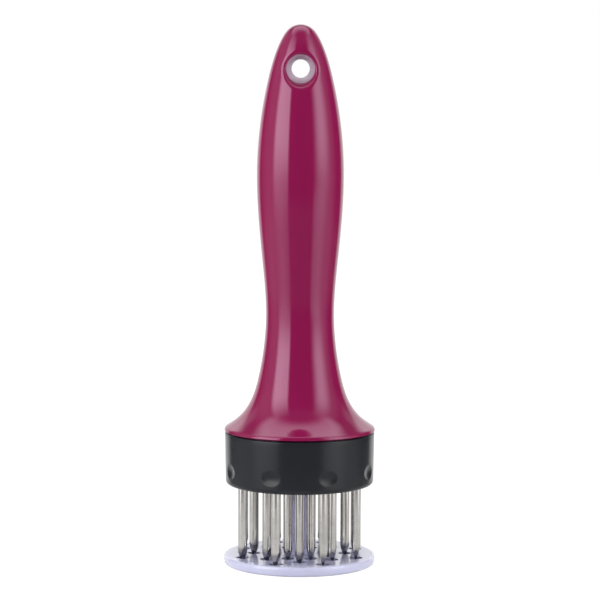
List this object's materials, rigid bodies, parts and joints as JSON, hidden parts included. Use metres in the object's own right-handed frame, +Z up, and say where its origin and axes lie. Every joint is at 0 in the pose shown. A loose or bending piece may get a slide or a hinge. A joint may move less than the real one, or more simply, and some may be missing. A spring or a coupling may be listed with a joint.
{
  "type": "blade meat tenderizer",
  "caption": "Hand-held blade meat tenderizer: moulded grip with a hanging hole, a twist-off head of steel needles, and a sprung guard plate that slides up them.",
  "frame": {"origin": "centre of the guard plate's underside, where the tool stands", "axes": "+Z up along the grip, -Y towards the viewer in front of the hanging hole"},
  "size_m": [0.056, 0.056, 0.2],
  "materials": {
    "handle_plastic": "glossy magenta",
    "black_plastic": "satin black",
    "clear_plastic": "clear with a lavender tint",
    "needle_steel": "polished stainless steel",
    "plate_steel": "plain stainless steel",
    "screw_steel": "zinc plated steel",
    "spring_steel": "drawn spring wire",
    "white_acetal": "white acetal"
  },
  "bodies": {
    "handle": {"handle_shell": "handle_plastic", "spring_seat": "white_acetal", "return_spring": "spring_steel"},
    "head": {"needle_head": "black_plastic", "guide_bush": "white_acetal", "backing_plate": "plate_steel", "backing_screws": "screw_steel", "needle_inner_1": "needle_steel", "needle_inner_2": "needle_steel", "needle_inner_3": "needle_steel", "needle_inner_4": "needle_steel", "needle_inner_5": "needle_steel", "needle_inner_6": "needle_steel", "needle_inner_7": "needle_steel", "needle_inner_8": "needle_steel", "needle_middle_1": "needle_steel", "needle_middle_2": "needle_steel", "needle_middle_3": "needle_steel", "needle_middle_4": "needle_steel", "needle_middle_5": "needle_steel", "needle_middle_6": "needle_steel", "needle_middle_7": "needle_steel", "needle_middle_8": "needle_steel", "needle_outer_1": "needle_steel", "needle_outer_2": "needle_steel", "needle_outer_3": "needle_steel", "needle_outer_4": "needle_steel", "needle_outer_5": "needle_steel", "needle_outer_6": "needle_steel", "needle_outer_7": "needle_steel", "needle_outer_8": "needle_steel"},
    "guard": {"guard_plate": "clear_plastic", "stop_washer": "plate_steel", "column_screw": "screw_steel"}
  },
  "joints": [
    {"name": "head_twist", "type": "hinge", "parent": "handle", "child": "head", "pos_m": [0, 0, 0.045], "axis": [0, 0, 1], "range_deg": [0, 25]},
    {"name": "guard_slide", "type": "slide", "parent": "head", "child": "guard", "axis": [0, 0, 1], "range_m": [0, 0.026], "stiffness_N_per_m": 600, "springref_m": -0.01, "deforming": ["return_spring"]}
  ]
}
